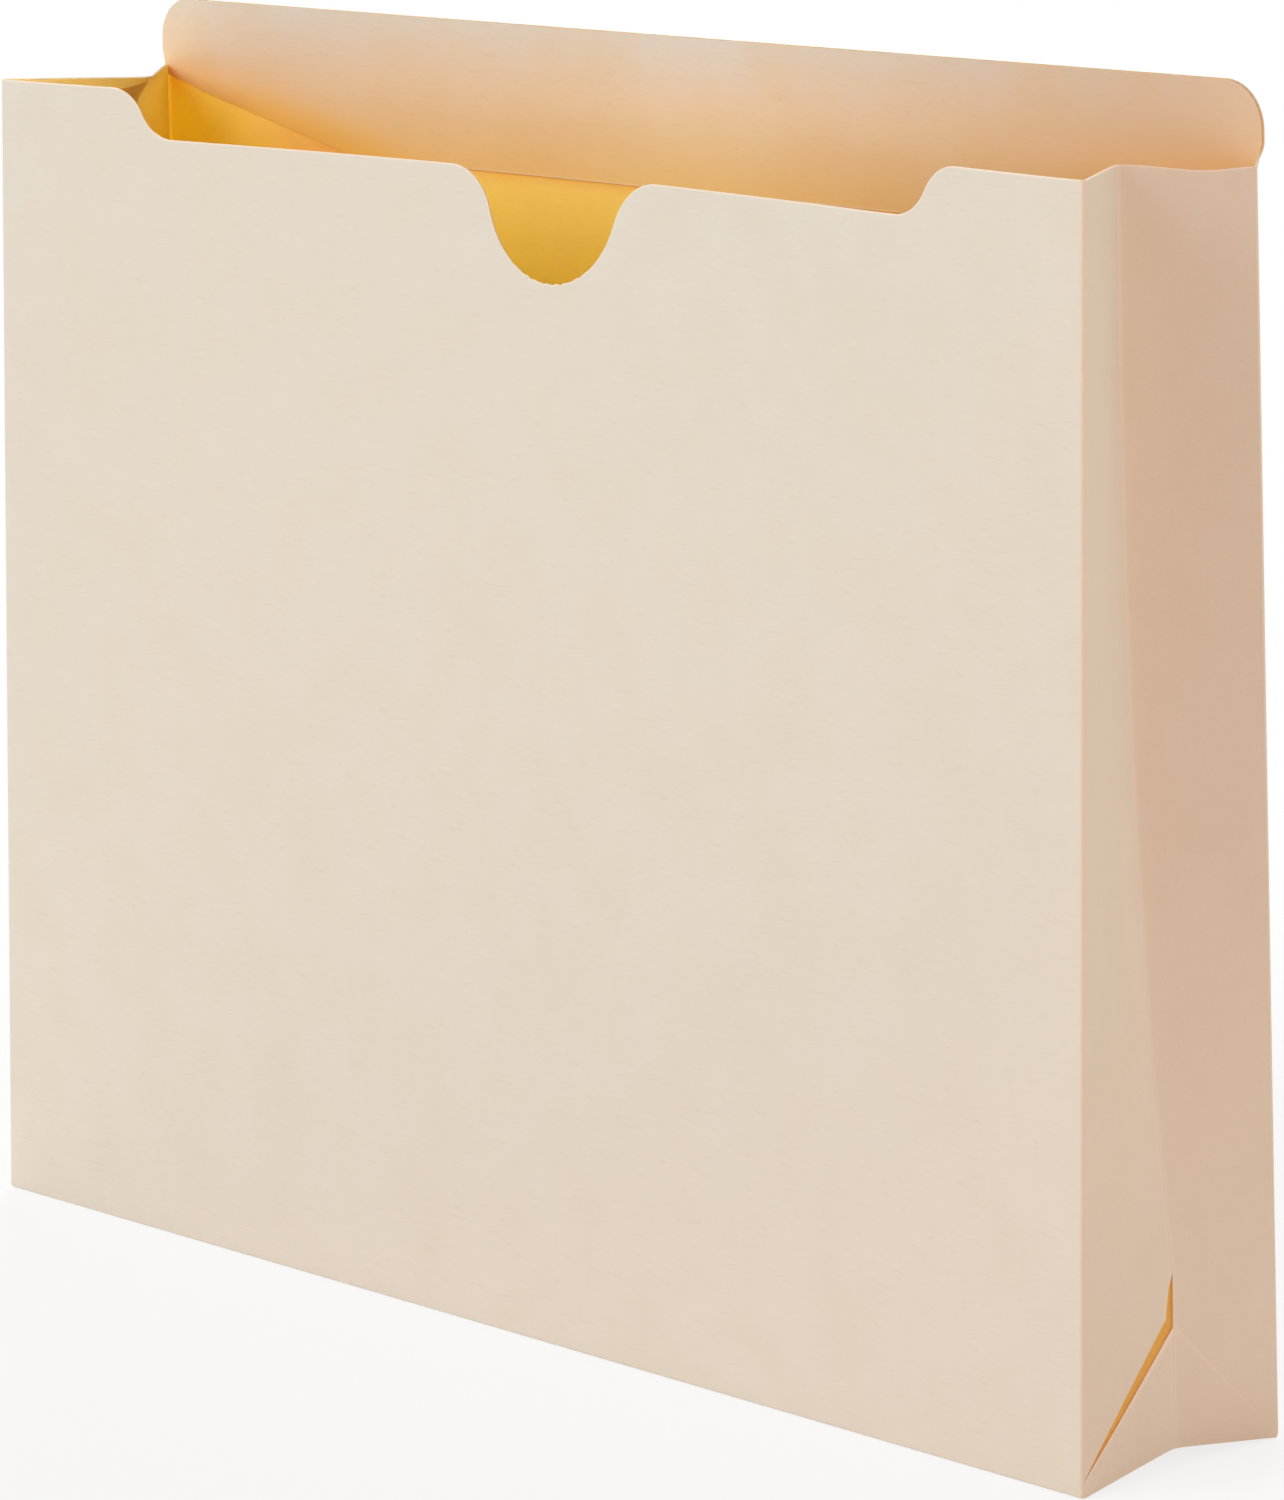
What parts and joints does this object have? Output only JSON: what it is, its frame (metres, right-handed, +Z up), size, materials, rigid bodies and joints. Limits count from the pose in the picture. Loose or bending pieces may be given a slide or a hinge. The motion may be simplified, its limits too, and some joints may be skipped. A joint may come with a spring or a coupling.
{
  "type": "expanding file jacket",
  "caption": "Flat manila file jacket with gusseted sides and bottom, a straight raised tab, and an undercut front with a thumb cut; it folds flat.",
  "frame": {"origin": "centre of the bottom, on the surface that the jacket stands on", "axes": "+Z up towards the open top, +Y towards the rear panel with the tab, the cut-away front panel faces -Y, +X to the right seen from the front"},
  "size_m": [0.2984, 0.0504, 0.2413],
  "materials": {
    "manila_outer": "uncoated paper board made of wood pulp, matte, cream manila",
    "manila_inner": "uncoated paper board made of wood pulp, matte, the warmer inner side"
  },
  "bodies": {
    "rear_panel": {"rear_panel": "manila_outer", "tab_ply": "manila_inner", "right_rear_web": "manila_outer", "right_front_web": "manila_outer", "left_rear_web": "manila_outer", "left_front_web": "manila_outer"},
    "right_rear_gusset": {"right_rear_gusset": "manila_outer"},
    "right_front_gusset": {"right_front_gusset": "manila_outer", "right_glue_flap": "manila_inner"},
    "front_panel": {"front_panel": "manila_outer"},
    "left_rear_gusset": {"left_rear_gusset": "manila_outer"},
    "left_front_gusset": {"left_front_gusset": "manila_outer", "left_glue_flap": "manila_inner"},
    "bottom_rear": {"bottom_rear": "manila_outer"},
    "bottom_front": {"bottom_front": "manila_outer"}
  },
  "joints": [
    {"name": "right_rear_fold", "type": "hinge", "parent": "rear_panel", "child": "right_rear_gusset", "pos_m": [0.14789, 0.0248, 0], "axis": [0, 0, -1], "range_deg": [-12.5, 71.5], "deforming": ["right_rear_web", "right_front_web", "left_rear_web", "left_front_web"]},
    {"name": "right_center_fold", "type": "hinge", "parent": "right_rear_gusset", "child": "right_front_gusset", "pos_m": [0.1424, 0, 0], "axis": [0, 0, 1], "range_deg": [-25, 143]},
    {"name": "right_front_fold", "type": "hinge", "parent": "right_front_gusset", "child": "front_panel", "pos_m": [0.14789, -0.0248, 0], "axis": [0, 0, -1], "range_deg": [-12.5, 71.5]},
    {"name": "left_rear_fold", "type": "hinge", "parent": "rear_panel", "child": "left_rear_gusset", "pos_m": [-0.14789, 0.0248, 0], "axis": [0, 0, 1], "range_deg": [-12.5, 71.5]},
    {"name": "left_center_fold", "type": "hinge", "parent": "left_rear_gusset", "child": "left_front_gusset", "pos_m": [-0.1424, 0, 0], "axis": [0, 0, -1], "range_deg": [-25, 143]},
    {"name": "bottom_rear_fold", "type": "hinge", "parent": "rear_panel", "child": "bottom_rear", "pos_m": [0, 0.0248, 0.00073], "axis": [-1, 0, 0], "range_deg": [-12.5, 71.5]},
    {"name": "bottom_center_fold", "type": "hinge", "parent": "bottom_rear", "child": "bottom_front", "pos_m": [0, 0, 0.00623], "axis": [1, 0, 0], "range_deg": [-25, 143]}
  ],
  "couplings": [
    {"joint": "right_center_fold", "follows": "right_rear_fold", "ratio": 2},
    {"joint": "right_front_fold", "follows": "right_rear_fold", "ratio": 1},
    {"joint": "left_rear_fold", "follows": "right_rear_fold", "ratio": 1},
    {"joint": "left_center_fold", "follows": "right_rear_fold", "ratio": 2},
    {"joint": "bottom_rear_fold", "follows": "right_rear_fold", "ratio": 1},
    {"joint": "bottom_center_fold", "follows": "right_rear_fold", "ratio": 2}
  ]
}
